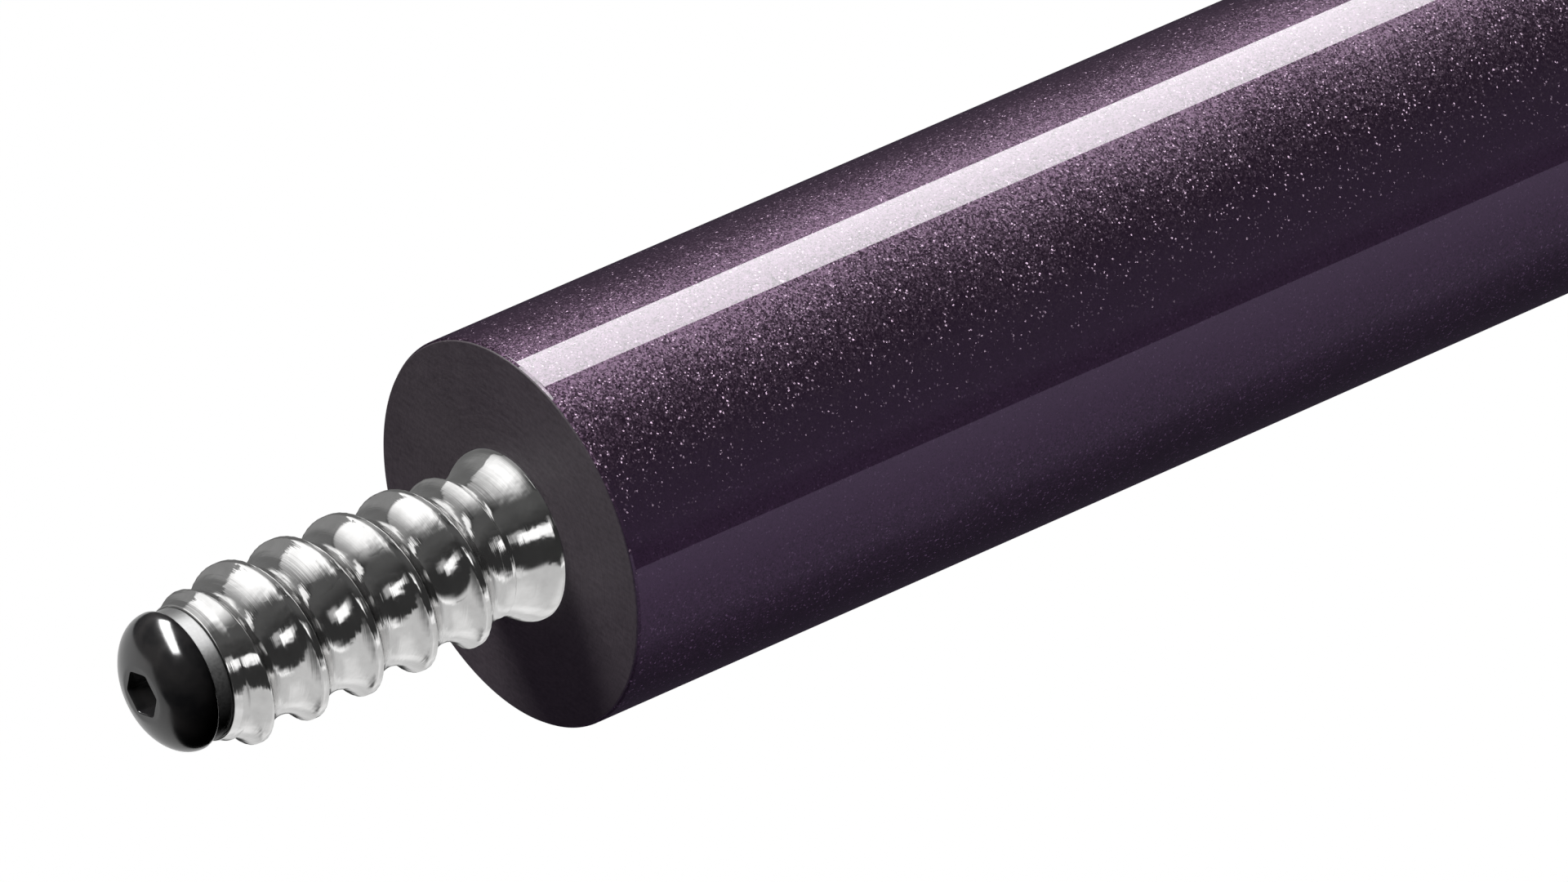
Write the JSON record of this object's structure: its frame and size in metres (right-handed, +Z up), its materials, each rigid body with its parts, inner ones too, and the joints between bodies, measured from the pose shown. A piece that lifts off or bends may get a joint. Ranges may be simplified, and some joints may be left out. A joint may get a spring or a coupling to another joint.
{
  "type": "pool cue butt",
  "caption": "Rear half of a two-piece pool cue with purple metallic lacquer, a bare polished joint pin at the front, a wound grip and a rubber bumper at the rear.",
  "frame": {"origin": "centre of the joint face, where the joint pin leaves it", "axes": "+X along the cue towards the bumper, -X out along the joint pin, +Z up with the cue lying level"},
  "size_m": [0.7616, 0.031, 0.031],
  "materials": {
    "polished_steel": "polished stainless steel with fine turning marks",
    "black_nylon": "satin",
    "black_oxide_steel": "glossy black oxide",
    "black_phenolic": "faced and lightly buffed",
    "maple": "sealed",
    "purple_lacquer": "metallic flake lacquer under a clear coat",
    "plain_steel": "zinc plated",
    "linen_wrap": "pressed linen thread",
    "gloss_black": "polished",
    "nickel_silver": "polished",
    "brass": "turned",
    "black_rubber": "moulded"
  },
  "bodies": {
    "cue": {"joint_pin": "polished_steel", "joint_collar": "black_phenolic", "forearm_core": "maple", "forearm_sleeve": "purple_lacquer", "handle_stud": "plain_steel", "handle_core": "maple", "handle_wrap": "linen_wrap", "front_trim_collar": "gloss_black", "front_trim_ring": "nickel_silver", "rear_trim_ring": "nickel_silver", "rear_trim_collar": "gloss_black", "butt_trim_ring": "nickel_silver", "butt_core": "maple", "butt_sleeve": "purple_lacquer", "butt_cap": "gloss_black", "weight_insert": "brass"},
    "nose_washer": {"nose_washer": "black_nylon"},
    "nose_screw": {"nose_screw": "black_oxide_steel"},
    "weight_bolt": {"weight_bolt": "plain_steel"},
    "bumper": {"bumper": "black_rubber", "bumper_washer": "plain_steel"},
    "bumper_screw": {"bumper_screw": "plain_steel"}
  },
  "joints": [
    {"name": "nose_travel", "type": "slide", "parent": "cue", "child": "nose_washer", "axis": [-1, 0, 0], "range_m": [0, 0.0056]},
    {"name": "nose_turn", "type": "hinge", "parent": "nose_washer", "child": "nose_screw", "pos_m": [-0.0215, 0, 0], "axis": [-1, 0, 0], "range_deg": [0, 2880]},
    {"name": "weight_travel", "type": "slide", "parent": "cue", "child": "weight_bolt", "axis": [1, 0, 0], "range_m": [-0.013, 0.01]},
    {"name": "bumper_travel", "type": "slide", "parent": "cue", "child": "bumper", "axis": [1, 0, 0], "range_m": [0, 0.0127]},
    {"name": "bumper_turn", "type": "hinge", "parent": "bumper", "child": "bumper_screw", "pos_m": [0.7316, 0, 0], "axis": [1, 0, 0], "range_deg": [0, 2880]}
  ],
  "couplings": [
    {"joint": "nose_turn", "follows": "nose_travel", "rad_per_m": 8976},
    {"joint": "bumper_turn", "follows": "bumper_travel", "rad_per_m": 3957.9}
  ]
}
